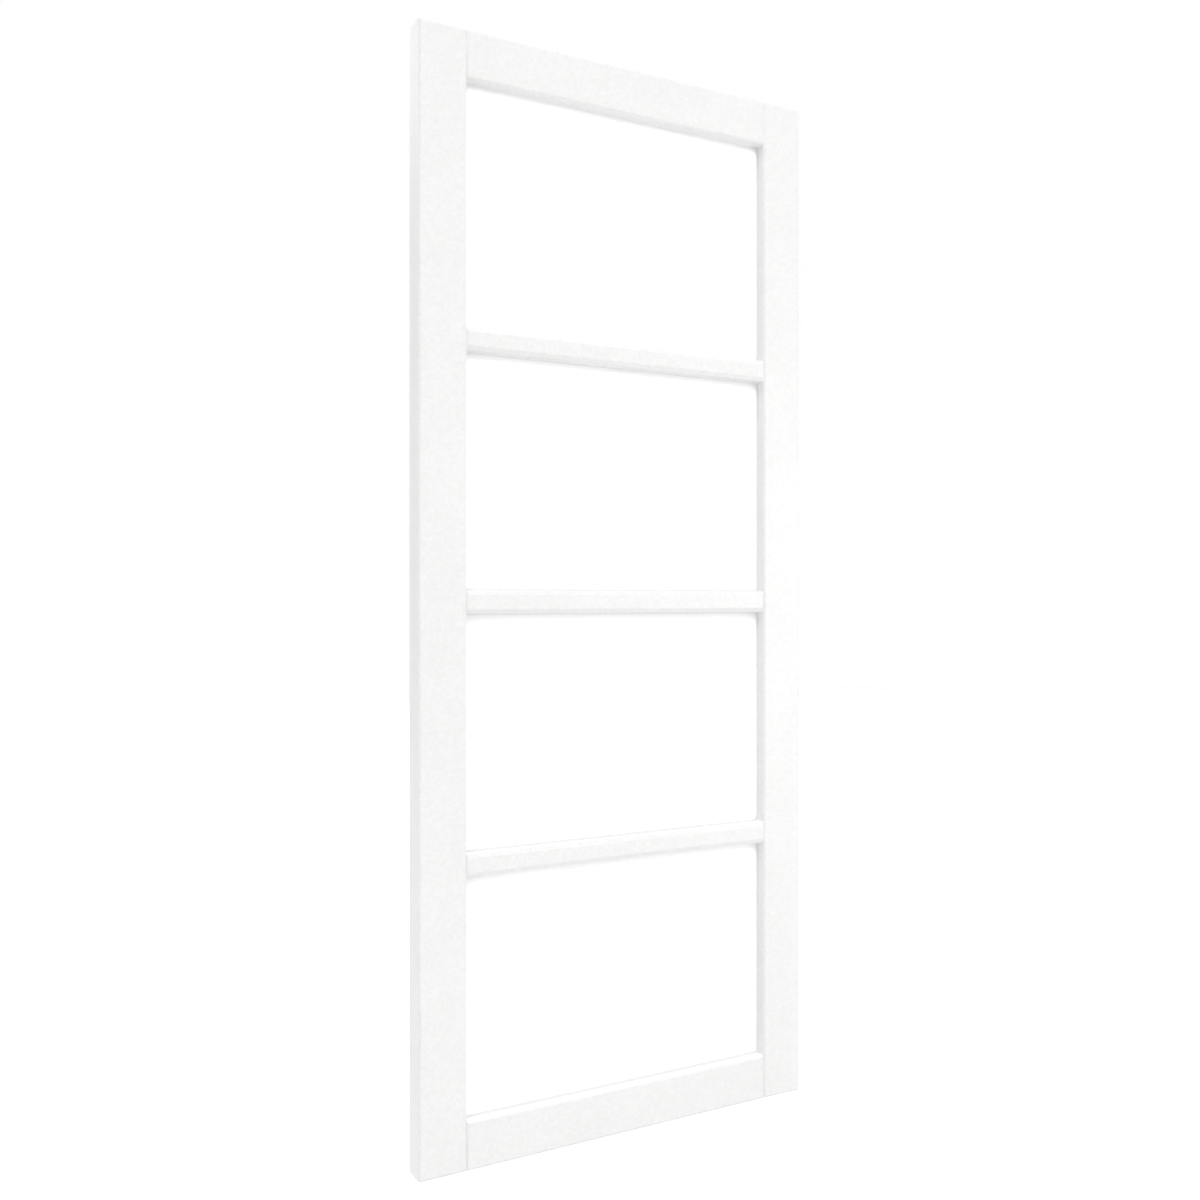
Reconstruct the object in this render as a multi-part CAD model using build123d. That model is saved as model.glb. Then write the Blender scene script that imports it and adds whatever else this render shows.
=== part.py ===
from build123d import *
import os

# A glazed door leaf of painted timber, made as two stiles, two rails and three slim bars.
# Its four panes sit in rebates cut from the back, and loose mitred beads hold them there.
# X runs across the leaf from the hinge edge, Y from the front face to the back, and Z up.
# The origin is at the foot of the hinge edge, halfway through the thickness.

# Driving sizes, in millimetres
HEIGHT = 2015
WIDTH = 830
THICKNESS = 50
STILE_WIDTH = 90
RAIL_HEIGHT = 86
BAR_HEIGHT = 41
BAR_PITCH = 466
MIDDLE_BAR = 1004
ARRIS = 3
BEVEL_RUN = 8
BEVEL_DROP = 3
REBATE = 12
GLASS_THICKNESS = 6
GLASS_GAP = 2
TENON_THICKNESS = 16
RAIL_TENON_HEIGHT = 44
RAIL_TENON_LENGTH = 60
BAR_TENON_HEIGHT = 14
BAR_TENON_LENGTH = 25

FRONT = -THICKNESS / 2
BACK = THICKNESS / 2
GLASS_FRONT = -GLASS_THICKNESS / 2
GLASS_BACK = GLASS_THICKNESS / 2
OPENING_LEFT = STILE_WIDTH
OPENING_RIGHT = WIDTH - STILE_WIDTH

BAR_NAMES = ["top_bar", "middle_bar", "bottom_bar"]
BAR_MIDDLES = [MIDDLE_BAR + BAR_PITCH, MIDDLE_BAR, MIDDLE_BAR - BAR_PITCH]
TOP_RAIL_MIDDLE = HEIGHT - RAIL_HEIGHT / 2
BOTTOM_RAIL_MIDDLE = RAIL_HEIGHT / 2

PANE_NAMES = ["top_pane", "upper_pane", "lower_pane", "bottom_pane"]
PANE_TOPS = [HEIGHT - RAIL_HEIGHT] + [middle - BAR_HEIGHT / 2 for middle in BAR_MIDDLES]
PANE_FEET = [middle + BAR_HEIGHT / 2 for middle in BAR_MIDDLES] + [RAIL_HEIGHT]
PANE_SPANS = list(zip(PANE_FEET, PANE_TOPS))


def block(left, right, near, far, foot, top):
    """A plain block between two values on each axis."""
    centre = Pos((left + right) / 2, (near + far) / 2, (foot + top) / 2)
    return centre * Box(right - left, far - near, top - foot)


def planed_timber(left, right, foot, top):
    """A timber of the leaf's full thickness with an arris taken off round both faces.
    Where two timbers meet, their arrises make the V-groove of the joint."""
    timber = block(left, right, FRONT, BACK, foot, top)
    faces = timber.faces().sort_by(Axis.Y)
    return chamfer(faces[0].edges() + faces[-1].edges(), ARRIS)


def tenons(middle, height, length):
    """The stub tenons at both ends of a rail or bar, also the shape of their mortises."""
    left = block(
        OPENING_LEFT - length,
        OPENING_LEFT,
        -TENON_THICKNESS / 2,
        TENON_THICKNESS / 2,
        middle - height / 2,
        middle + height / 2,
    )
    return left + mirror(left, about=Plane.YZ.offset(WIDTH / 2))


def rail_tenons(middle):
    return tenons(middle, RAIL_TENON_HEIGHT, RAIL_TENON_LENGTH)


def bar_tenons(middle):
    return tenons(middle, BAR_TENON_HEIGHT, BAR_TENON_LENGTH)


def rebate_cut(foot, top):
    """The wider pocket behind one opening, which takes the pane and its beads."""
    return block(
        OPENING_LEFT - REBATE,
        OPENING_RIGHT + REBATE,
        GLASS_FRONT,
        BACK,
        foot - REBATE,
        top + REBATE,
    )


def stile(left):
    """A full-height stile, rebated behind each opening and mortised for rails and bars."""
    timber = planed_timber(left, left + STILE_WIDTH, 0, HEIGHT)
    for foot, top in PANE_SPANS:
        timber -= rebate_cut(foot, top)
    for middle in (TOP_RAIL_MIDDLE, BOTTOM_RAIL_MIDDLE):
        timber -= rail_tenons(middle)
    for middle in BAR_MIDDLES:
        timber -= bar_tenons(middle)
    return timber


def rail(middle, pane_span):
    """A rail between the stiles, rebated along the edge that meets its pane."""
    foot = middle - RAIL_HEIGHT / 2
    top = middle + RAIL_HEIGHT / 2
    timber = planed_timber(OPENING_LEFT, OPENING_RIGHT, foot, top)
    return timber - rebate_cut(*pane_span) + rail_tenons(middle)


def bar(middle):
    """A slim bar: a shallow bevel on each side of its flat front, and a web behind.
    The section is crossed with the plan, which has an arris at each shoulder."""
    half = BAR_HEIGHT / 2
    web = half - REBATE
    upper = [
        (FRONT, half - BEVEL_RUN),
        (FRONT + BEVEL_DROP, half),
        (GLASS_FRONT, half),
        (GLASS_FRONT, web),
        (BACK, web),
    ]
    lower = [(depth, -height) for depth, height in reversed(upper)]
    section = Plane.YZ * Polygon(*upper, *lower, align=None)
    length = extrude(section, OPENING_RIGHT - OPENING_LEFT, dir=(1, 0, 0))
    plan = Rectangle(OPENING_RIGHT - OPENING_LEFT, THICKNESS)
    plan = chamfer(plan.vertices(), ARRIS)
    shoulders = Pos(WIDTH / 2, 0, -half) * extrude(plan, BAR_HEIGHT)
    shaped = Pos(OPENING_LEFT, 0, 0) * length & shoulders
    return Pos(0, 0, middle) * shaped + bar_tenons(middle)


def pane(foot, top):
    """A sheet of glass set in its rebate, with a gap round its edges."""
    reach = REBATE - GLASS_GAP
    return block(
        OPENING_LEFT - reach,
        OPENING_RIGHT + reach,
        GLASS_FRONT,
        GLASS_BACK,
        foot - reach,
        top + reach,
    )


def bead_bevel(foot, top):
    """The shallow bevel round the sight edge of one pane's beads, as a flared plug."""
    opening = Plane(origin=(WIDTH / 2, 0, (foot + top) / 2), x_dir=(1, 0, 0), z_dir=(0, -1, 0))
    width = OPENING_RIGHT - OPENING_LEFT
    height = top - foot
    near = opening.offset(BEVEL_DROP - BACK) * Rectangle(width, height)
    far = opening.offset(-BACK) * Rectangle(width + 2 * BEVEL_RUN, height + 2 * BEVEL_RUN)
    return loft([near.face(), far.face()])


def beads(foot, top):
    """Four beads of one section, mitred where they meet, that fill the rebate behind the glass."""
    inner = [
        (OPENING_LEFT, foot),
        (OPENING_RIGHT, foot),
        (OPENING_RIGHT, top),
        (OPENING_LEFT, top),
    ]
    outer = [
        (OPENING_LEFT - REBATE, foot - REBATE),
        (OPENING_RIGHT + REBATE, foot - REBATE),
        (OPENING_RIGHT + REBATE, top + REBATE),
        (OPENING_LEFT - REBATE, top + REBATE),
    ]
    bevel = bead_bevel(foot, top)
    made = {}
    for corner, side in enumerate(["bottom", "right", "top", "left"]):
        following = (corner + 1) % 4
        outline = Polygon(
            outer[corner], outer[following], inner[following], inner[corner], align=None
        )
        strip = extrude(Plane.XZ.offset(-BACK) * outline, BACK - GLASS_BACK, dir=(0, -1, 0))
        made[side] = strip - bevel
    return made


os.makedirs("parts", exist_ok=True)

pieces = {
    "left_stile": stile(0),
    "right_stile": stile(WIDTH - STILE_WIDTH),
    "top_rail": rail(TOP_RAIL_MIDDLE, PANE_SPANS[0]),
    "bottom_rail": rail(BOTTOM_RAIL_MIDDLE, PANE_SPANS[-1]),
}
for name, middle in zip(BAR_NAMES, BAR_MIDDLES):
    pieces[name] = bar(middle)
for name, span in zip(PANE_NAMES, PANE_SPANS):
    pieces[name] = pane(*span)
    for side, bead in beads(*span).items():
        pieces[f"{name}_{side}_bead"] = bead

for name, piece in pieces.items():
    export_step(piece, f"parts/{name}.step")
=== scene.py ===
import math

import bmesh
import bpy
from mathutils import Matrix, Vector


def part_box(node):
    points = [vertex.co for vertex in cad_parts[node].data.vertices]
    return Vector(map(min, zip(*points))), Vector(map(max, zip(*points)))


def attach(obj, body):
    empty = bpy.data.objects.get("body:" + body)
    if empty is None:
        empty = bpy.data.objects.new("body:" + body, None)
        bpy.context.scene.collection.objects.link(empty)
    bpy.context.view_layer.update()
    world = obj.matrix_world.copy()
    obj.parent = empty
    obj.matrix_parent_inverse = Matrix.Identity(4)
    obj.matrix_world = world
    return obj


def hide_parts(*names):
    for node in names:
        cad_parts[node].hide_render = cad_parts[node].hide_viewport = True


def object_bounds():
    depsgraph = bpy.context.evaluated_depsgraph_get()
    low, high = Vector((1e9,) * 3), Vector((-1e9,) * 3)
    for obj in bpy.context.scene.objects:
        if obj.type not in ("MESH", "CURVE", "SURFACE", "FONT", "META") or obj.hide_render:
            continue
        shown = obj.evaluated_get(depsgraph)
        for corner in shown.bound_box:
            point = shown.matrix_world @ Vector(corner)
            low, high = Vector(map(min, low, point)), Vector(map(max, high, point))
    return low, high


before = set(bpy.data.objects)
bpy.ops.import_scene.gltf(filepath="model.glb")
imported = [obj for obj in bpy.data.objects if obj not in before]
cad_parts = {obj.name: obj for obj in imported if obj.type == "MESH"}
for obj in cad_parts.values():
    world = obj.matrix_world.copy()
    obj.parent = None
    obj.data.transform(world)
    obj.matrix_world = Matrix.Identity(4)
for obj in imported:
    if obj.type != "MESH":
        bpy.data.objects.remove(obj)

cad_low, cad_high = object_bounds()

# The leaf's skeleton is two stiles, two rails and three slim bars, tenoned together and planed flush.
# Each edge has an arris, so the joints close as fine V-grooves. The whole skeleton is primed, rubbed
# down and sprayed with a white satin paint, which leaves a fine stipple and eases every sharp corner.
timber_names = ["left_stile", "right_stile", "top_rail", "bottom_rail"]
timber_names += ["top_bar", "middle_bar", "bottom_bar"]
paint_low = (0.862, 0.862, 0.857, 1.0)
paint_high = (0.912, 0.912, 0.907, 1.0)
paint_rough = (0.36, 0.46)
paint_ior = 1.48
paint_specular = 0.42
stipple_size = 0.0011
stipple_strength = 0.35
stipple_depth = 0.00003
flow_size = 0.0055
flow_strength = 0.25
flow_depth = 0.00006
flow_share = 0.75
cloud_size = 0.14
cloud_share = 0.25
patch_low = 0.36
patch_high = 0.64
noise_low = 0.3
noise_high = 0.7
same_place = 0.00001
flat_angle = math.radians(0.5)
corner_angle = math.radians(8)
sprayed_edge = 0.0007
round_steps = 3
longest_round = 2.5
glass_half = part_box("top_pane")[1][1]
bedding = 0.0001


def texture_noise(nodes, links, where, size, detail):
    """A noise whose cells are about this many metres wide, read on the given coordinates."""
    noise = nodes.new("ShaderNodeTexNoise")
    noise.inputs["Scale"].default_value = 1.0 / size
    noise.inputs["Detail"].default_value = detail
    links.new(where.outputs["Object"], noise.inputs["Vector"])
    return noise


def scaled_noise(nodes, links, noise, share):
    """One noise times its share."""
    scaled = nodes.new("ShaderNodeMath")
    scaled.operation = "MULTIPLY"
    scaled.inputs[1].default_value = share
    links.new(noise.outputs["Fac"], scaled.inputs[0])
    return scaled.outputs[0]


def colour_between(nodes, links, source, low, high):
    """A colour that runs from one to the other over the middle of a noise's range."""
    ramp = nodes.new("ShaderNodeValToRGB")
    ramp.color_ramp.elements[0].position = patch_low
    ramp.color_ramp.elements[0].color = low
    ramp.color_ramp.elements[1].position = patch_high
    ramp.color_ramp.elements[1].color = high
    links.new(source, ramp.inputs["Fac"])
    return ramp.outputs["Color"]


def value_between(nodes, links, noise, low, high):
    """A number that runs from low to high as the noise does."""
    spread = nodes.new("ShaderNodeMapRange")
    spread.inputs["From Min"].default_value = noise_low
    spread.inputs["From Max"].default_value = noise_high
    spread.inputs["To Min"].default_value = low
    spread.inputs["To Max"].default_value = high
    links.new(noise.outputs["Fac"], spread.inputs["Value"])
    return spread.outputs["Result"]


def bumped_by(nodes, links, noise, strength, depth):
    """A bump that follows the noise, to this depth in metres."""
    bump = nodes.new("ShaderNodeBump")
    bump.inputs["Strength"].default_value = strength
    bump.inputs["Distance"].default_value = depth
    links.new(noise.outputs["Fac"], bump.inputs["Height"])
    return bump


def sprayed_paint(name, low, high, rough):
    """Satin paint: a faint uneven white, a fine spray stipple over a slower flow, and a patchy sheen."""
    material = bpy.data.materials.new(name)
    material.use_nodes = True
    nodes = material.node_tree.nodes
    links = material.node_tree.links
    shader = nodes["Principled BSDF"]
    shader.inputs["IOR"].default_value = paint_ior
    shader.inputs["Specular IOR Level"].default_value = paint_specular
    where = nodes.new("ShaderNodeTexCoord")
    stipple = texture_noise(nodes, links, where, stipple_size, 2.0)
    flow = texture_noise(nodes, links, where, flow_size, 3.0)
    cloud = texture_noise(nodes, links, where, cloud_size, 4.0)
    blend = nodes.new("ShaderNodeMath")
    blend.operation = "ADD"
    links.new(scaled_noise(nodes, links, flow, flow_share), blend.inputs[0])
    links.new(scaled_noise(nodes, links, cloud, cloud_share), blend.inputs[1])
    colour = colour_between(nodes, links, blend.outputs[0], low, high)
    links.new(colour, shader.inputs["Base Color"])
    sheen = value_between(nodes, links, flow, rough[0], rough[1])
    links.new(sheen, shader.inputs["Roughness"])
    slow = bumped_by(nodes, links, flow, flow_strength, flow_depth)
    fine = bumped_by(nodes, links, stipple, stipple_strength, stipple_depth)
    links.new(slow.outputs["Normal"], fine.inputs["Normal"])
    links.new(fine.outputs["Normal"], shader.inputs["Normal"])
    return material


def joined_to_leaf(name, mesh, material):
    """Turns a shaped mesh into a named piece that goes with the leaf."""
    data = bpy.data.meshes.new(name)
    mesh.to_mesh(data)
    mesh.free()
    data.materials.append(material)
    piece = bpy.data.objects.new(name, data)
    bpy.context.scene.collection.objects.link(piece)
    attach(piece, "root")
    return piece


def eased_timber(name, radius, material):
    """A copy of a machined member whose corners are eased to a small round, as paint leaves them.
    The face that meets the glass stands off it by the thickness of the bedding tape."""
    mesh = bmesh.new()
    mesh.from_mesh(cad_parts[name].data)
    bmesh.ops.remove_doubles(mesh, verts=mesh.verts, dist=same_place)
    bmesh.ops.dissolve_limit(
        mesh, angle_limit=flat_angle, use_dissolve_boundaries=False,
        verts=mesh.verts, edges=mesh.edges,
    )
    for vert in mesh.verts:
        if abs(abs(vert.co.y) - glass_half) < bedding / 4:
            vert.co.y += math.copysign(bedding, vert.co.y)
    corners = [edge for edge in mesh.edges if edge.calc_face_angle(0.0) > corner_angle]
    bmesh.ops.bevel(
        mesh, geom=corners, offset=radius, offset_type="OFFSET", segments=round_steps,
        profile=0.5, affect="EDGES", clamp_overlap=True, material=-1,
    )
    for face in mesh.faces:
        face.smooth = face.calc_area() < radius * longest_round
    piece = joined_to_leaf(name + "_painted", mesh, material)
    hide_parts(name)


timber_paint = sprayed_paint("white_satin_paint", paint_low, paint_high, paint_rough)
for name in timber_names:
    eased_timber(name, sprayed_edge, timber_paint)

# Four sheets of satin glass close the openings. Each is 6 mm thick and etched to a fine even haze,
# which scatters the light from both sides and hides what is behind. Its tint shows only in its depth.
pane_names = ["top_pane", "upper_pane", "lower_pane", "bottom_pane"]
glass_tint = (0.988, 0.995, 0.992, 1.0)
glass_clear = (0.99, 0.99, 0.99, 1.0)
glass_ior = 1.5
glass_rough = (0.46, 0.54)
see_through = 0.62
milk_share = 0.74
haze_size = 0.05
etch_size = 0.0006
etch_strength = 0.3
etch_depth = 0.00003


def either(nodes, links, first, second):
    """1 where either of two ray tests holds."""
    total = nodes.new("ShaderNodeMath")
    total.operation = "ADD"
    total.use_clamp = True
    links.new(first, total.inputs[0])
    links.new(second, total.inputs[1])
    return total.outputs[0]


def mixed(nodes, links, first, second):
    """A mix of two shaders, with its share still to be set or linked."""
    mix = nodes.new("ShaderNodeMixShader")
    links.new(first, mix.inputs[1])
    links.new(second, mix.inputs[2])
    return mix


def etched_glass():
    """Glass that scatters much of the light. Lamps and bounced light still reach the timber behind."""
    material = bpy.data.materials.new("satin_glass")
    material.use_nodes = True
    nodes = material.node_tree.nodes
    links = material.node_tree.links
    shader = nodes["Principled BSDF"]
    shader.inputs["Transmission Weight"].default_value = see_through
    shader.inputs["IOR"].default_value = glass_ior
    shader.inputs["Base Color"].default_value = glass_tint
    where = nodes.new("ShaderNodeTexCoord")
    etch = texture_noise(nodes, links, where, etch_size, 2.0)
    haze = texture_noise(nodes, links, where, haze_size, 3.0)
    rough = value_between(nodes, links, haze, glass_rough[0], glass_rough[1])
    links.new(rough, shader.inputs["Roughness"])
    surface = bumped_by(nodes, links, etch, etch_strength, etch_depth)
    links.new(surface.outputs["Normal"], shader.inputs["Normal"])
    milk = nodes.new("ShaderNodeBsdfTranslucent")
    milk.inputs["Color"].default_value = glass_tint
    links.new(surface.outputs["Normal"], milk.inputs["Normal"])
    milky = mixed(nodes, links, shader.outputs["BSDF"], milk.outputs["BSDF"])
    milky.inputs["Fac"].default_value = milk_share
    clear = nodes.new("ShaderNodeBsdfTransparent")
    clear.inputs["Color"].default_value = glass_clear
    path = nodes.new("ShaderNodeLightPath")
    passes = either(nodes, links, path.outputs["Is Shadow Ray"], path.outputs["Is Diffuse Ray"])
    glass = mixed(nodes, links, milky.outputs["Shader"], clear.outputs["BSDF"])
    links.new(passes, glass.inputs["Fac"])
    links.new(glass.outputs["Shader"], nodes["Material Output"].inputs["Surface"])
    return material


satin_glass = etched_glass()
for name in pane_names:
    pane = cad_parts[name]
    pane.data.materials.clear()
    pane.data.materials.append(satin_glass)

# Each sheet beds on a thin line of sealant, front and back. It is run into the corner between
# the glass and the timber, tooled to a small sloping fillet and left unpainted. Its pale grey is
# painted shade, standing in for the fine shadow line where the timber meets the glass.
fillet = 0.003
# Painted shade: the sealant is darkened from white to a pale grey to draw the seam's shadow line.
sealant_painted_shade_low = (0.790, 0.790, 0.787, 1.0)
sealant_painted_shade_high = (0.830, 0.830, 0.827, 1.0)
sealant_rough = (0.30, 0.38)
stile_inner_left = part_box("left_stile")[1][0]
stile_inner_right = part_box("right_stile")[0][0]


def sealant_fillet(mesh, low, high, glass, outward):
    """A closed ring round one opening: flat beside the glass, and sloping up to the wall."""
    made = bmesh.ops.create_grid(mesh, x_segments=1, y_segments=1, size=0.5)
    corners = made["verts"]
    flat = glass + outward * bedding
    centre = Vector(((low[0] + high[0]) / 2, flat, (low[1] + high[1]) / 2))
    bmesh.ops.scale(mesh, vec=(high[0] - low[0], high[1] - low[1], 1.0), verts=corners)
    bmesh.ops.rotate(mesh, matrix=Matrix.Rotation(math.radians(90), 3, "X"), verts=corners)
    bmesh.ops.translate(mesh, vec=centre, verts=corners)
    opening = corners[0].link_faces[0]
    inset = bmesh.ops.inset_region(
        mesh, faces=[opening], thickness=fillet, use_boundary=True, use_even_offset=True
    )
    ring = inset["faces"]
    bmesh.ops.delete(mesh, geom=[opening], context="FACES")
    lifted = bmesh.ops.extrude_face_region(mesh, geom=ring)["geom"]
    at_wall = [
        vert
        for vert in lifted
        if isinstance(vert, bmesh.types.BMVert)
        and (
            abs(abs(vert.co.x - centre.x) - (high[0] - low[0]) / 2) < fillet / 4
            or abs(abs(vert.co.z - centre.z) - (high[1] - low[1]) / 2) < fillet / 4
        )
    ]
    bmesh.ops.translate(mesh, vec=(0.0, outward * fillet, 0.0), verts=at_wall)


# The sealant's grey is painted shade for the shadow line along the seam with the glass.
sealant = sprayed_paint("sealant_painted_shade", sealant_painted_shade_low, sealant_painted_shade_high, sealant_rough)
sight_spans = {}
for name in pane_names:
    bottom_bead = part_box(name + "_bottom_bead")
    top_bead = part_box(name + "_top_bead")
    sight_spans[name] = (bottom_bead[1][2], top_bead[0][2])
    pane_low, pane_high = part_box(name)
    opening_low = (stile_inner_left, sight_spans[name][0])
    opening_high = (stile_inner_right, sight_spans[name][1])
    seal = bmesh.new()
    sealant_fillet(seal, opening_low, opening_high, pane_low[1], -1)
    sealant_fillet(seal, opening_low, opening_high, pane_high[1], 1)
    bmesh.ops.remove_doubles(seal, verts=seal.verts, dist=same_place / 10)
    bmesh.ops.recalc_face_normals(seal, faces=seal.faces)
    joined_to_leaf(name + "_sealant", seal, sealant)

# Sixteen loose beads of one bevelled section hold the glass in from the back. They are mitred at the
# corners, sprayed before they go in, and so read a shade apart from the leaf along their seams.
bead_sides = ["bottom", "right", "top", "left"]
bead_low = (0.858, 0.858, 0.853, 1.0)
bead_high = (0.904, 0.904, 0.899, 1.0)
bead_rough = (0.38, 0.48)
bead_edge = 0.0005

bead_paint = sprayed_paint("white_bead_paint", bead_low, bead_high, bead_rough)
for name in pane_names:
    for side in bead_sides:
        eased_timber(f"{name}_{side}_bead", bead_edge, bead_paint)

# Headless pins fix the beads, about every 150 mm. Each hole is filled, rubbed down and touched in,
# which leaves a low round spot on the bead's bevelled back.
pin_spacing = 0.15
pin_margin = 0.05
pin_radius = 0.0014
pin_rise = 0.00022
pin_sides = 14
pin_rings = 8
bevel_run = 0.008
bevel_drop = 0.003


def pin_spot(mesh, across, up, inwards_x, inwards_z):
    """One filled pin halfway down the bevel: a very flat dome with its lower half in the wood."""
    facing = Vector((inwards_x * bevel_drop, bevel_run, inwards_z * bevel_drop))
    at = Vector((
        across - inwards_x * bevel_run / 2,
        cad_high[1] - bevel_drop / 2,
        up - inwards_z * bevel_run / 2,
    ))
    made = bmesh.ops.create_uvsphere(
        mesh, u_segments=pin_sides, v_segments=pin_rings, radius=pin_radius
    )
    turn = facing.to_track_quat("Z", "Y").to_matrix()
    bmesh.ops.scale(mesh, vec=(1.0, 1.0, pin_rise / pin_radius), verts=made["verts"])
    bmesh.ops.rotate(mesh, matrix=turn, verts=made["verts"])
    bmesh.ops.translate(mesh, vec=at, verts=made["verts"])


def pin_places(start, stop):
    """Even places along one bead, with a margin at each end."""
    length = stop - start - 2 * pin_margin
    gaps = max(1, round(length / pin_spacing))
    return [start + pin_margin + length * step / gaps for step in range(gaps + 1)]


for name in pane_names:
    foot, top = sight_spans[name]
    pins = bmesh.new()
    for across in pin_places(stile_inner_left, stile_inner_right):
        pin_spot(pins, across, foot, 0, 1)
        pin_spot(pins, across, top, 0, -1)
    for up in pin_places(foot, top):
        pin_spot(pins, stile_inner_left, up, 1, 0)
        pin_spot(pins, stile_inner_right, up, -1, 0)
    spots = joined_to_leaf(name + "_pins", pins, bead_paint)
    for face in spots.data.polygons:
        face.use_smooth = True

# The leaf stands for its picture on a plain pale floor that keeps its soft shadow. What the camera
# sees of the floor is lifted to the white of the ground, and what lights the leaf is a little darker.
floor_reach = 9.0
floor_bare = (0.80, 0.80, 0.80, 1.0)
floor_bare_glow = 0.03
floor_shown = (0.5, 0.5, 0.5, 1.0)
floor_shown_glow = 0.7


def glowing_floor(nodes, links, colour, glow_strength):
    """A plain diffuse floor with an even glow of its own."""
    plain = nodes.new("ShaderNodeBsdfDiffuse")
    plain.inputs["Color"].default_value = colour
    glow = nodes.new("ShaderNodeEmission")
    glow.inputs["Strength"].default_value = glow_strength
    both = nodes.new("ShaderNodeAddShader")
    links.new(plain.outputs["BSDF"], both.inputs[0])
    links.new(glow.outputs["Emission"], both.inputs[1])
    return both.outputs["Shader"]


def seen_directly(nodes, links):
    """1 for rays from the camera, also by reflection or through the glass."""
    path = nodes.new("ShaderNodeLightPath")
    seen = either(nodes, links, path.outputs["Is Camera Ray"], path.outputs["Is Glossy Ray"])
    return either(nodes, links, seen, path.outputs["Is Transmission Ray"])


floor_mesh = bmesh.new()
bmesh.ops.create_grid(floor_mesh, x_segments=1, y_segments=1, size=floor_reach)
floor_data = bpy.data.meshes.new("floor")
floor_mesh.to_mesh(floor_data)
floor_mesh.free()
floor = bpy.data.objects.new("floor", floor_data)
bpy.context.scene.collection.objects.link(floor)

floor_paint = bpy.data.materials.new("pale_floor")
floor_paint.use_nodes = True
floor_nodes = floor_paint.node_tree.nodes
floor_links = floor_paint.node_tree.links
floor_nodes.remove(floor_nodes["Principled BSDF"])
bare = glowing_floor(floor_nodes, floor_links, floor_bare, floor_bare_glow)
shown = glowing_floor(floor_nodes, floor_links, floor_shown, floor_shown_glow)
floor_mix = mixed(floor_nodes, floor_links, bare, shown)
floor_links.new(seen_directly(floor_nodes, floor_links), floor_mix.inputs["Fac"])
floor_links.new(floor_mix.outputs["Shader"], floor_nodes["Material Output"].inputs["Surface"])
floor.data.materials.append(floor_paint)

# The surround is plain white to the camera, and a dimmer even light on the leaf, so that the soft
# lamps below can shape it.
surround_seen = 1.0
surround_light = 0.38
white = (1.0, 1.0, 1.0, 1.0)

surround = bpy.data.worlds.new("white_surround")
bpy.context.scene.world = surround
surround.use_nodes = True
sky_nodes = surround.node_tree.nodes
sky_links = surround.node_tree.links
lighting = sky_nodes["Background"]
lighting.inputs["Color"].default_value = white
lighting.inputs["Strength"].default_value = surround_light
backdrop = sky_nodes.new("ShaderNodeBackground")
backdrop.inputs["Color"].default_value = white
backdrop.inputs["Strength"].default_value = surround_seen
sky_mix = mixed(
    sky_nodes, sky_links, lighting.outputs["Background"], backdrop.outputs["Background"]
)
sky_links.new(seen_directly(sky_nodes, sky_links), sky_mix.inputs["Fac"])
sky_links.new(sky_mix.outputs["Shader"], sky_nodes["World Output"].inputs["Surface"])

# Five square soft lamps. The key stands to the right in front, and a large one high above brightens
# what faces up. A weaker fill and a back lamp to the left light the hinge edge and the right reveal,
# and the rear lamp shines down through the glass from behind.
leaf_middle = ((cad_low[0] + cad_high[0]) / 2, 0.0, (cad_low[2] + cad_high[2]) / 2)
lamp_places = {
    "key_lamp": (7.0, -6.0, 1.0),
    "top_lamp": (-1.6, -4.6, 12.0),
    "fill_lamp": (-8.0, -4.6, 1.0),
    "back_lamp": (-9.0, 3.6, 3.0),
    "rear_lamp": (0.4, 8.0, 7.0),
}
lamp_sides = {
    "key_lamp": 3.0, "top_lamp": 6.0, "fill_lamp": 3.0, "back_lamp": 4.0, "rear_lamp": 4.0,
}
lamp_watts = {
    "key_lamp": 242, "top_lamp": 880, "fill_lamp": 77, "back_lamp": 94, "rear_lamp": 450,
}

for name, place in lamp_places.items():
    lamp_data = bpy.data.lights.new(name, "AREA")
    lamp_data.shape = "SQUARE"
    lamp_data.size = lamp_sides[name]
    lamp_data.energy = lamp_watts[name]
    lamp = bpy.data.objects.new(name, lamp_data)
    lamp.location = place
    aim = Vector(leaf_middle) - Vector(place)
    lamp.rotation_euler = aim.to_track_quat("-Z", "Y").to_euler()
    bpy.context.scene.collection.objects.link(lamp)

# The camera stands to the left in front, level, at half the leaf's height, as in the photograph.
camera_place = (-0.7712, -2.0292, 1.0075)
camera_level = math.radians(90)
camera_swing = math.radians(-29.41)
camera_lens = 36.91
camera_sensor = 36.0

camera_data = bpy.data.cameras.new("camera")
camera_data.lens = camera_lens
camera_data.sensor_width = camera_sensor
camera = bpy.data.objects.new("camera", camera_data)
camera.location = camera_place
camera.rotation_euler = (camera_level, 0.0, camera_swing)
bpy.context.scene.collection.objects.link(camera)
bpy.context.scene.camera = camera
bpy.context.scene.view_settings.view_transform = "Standard"
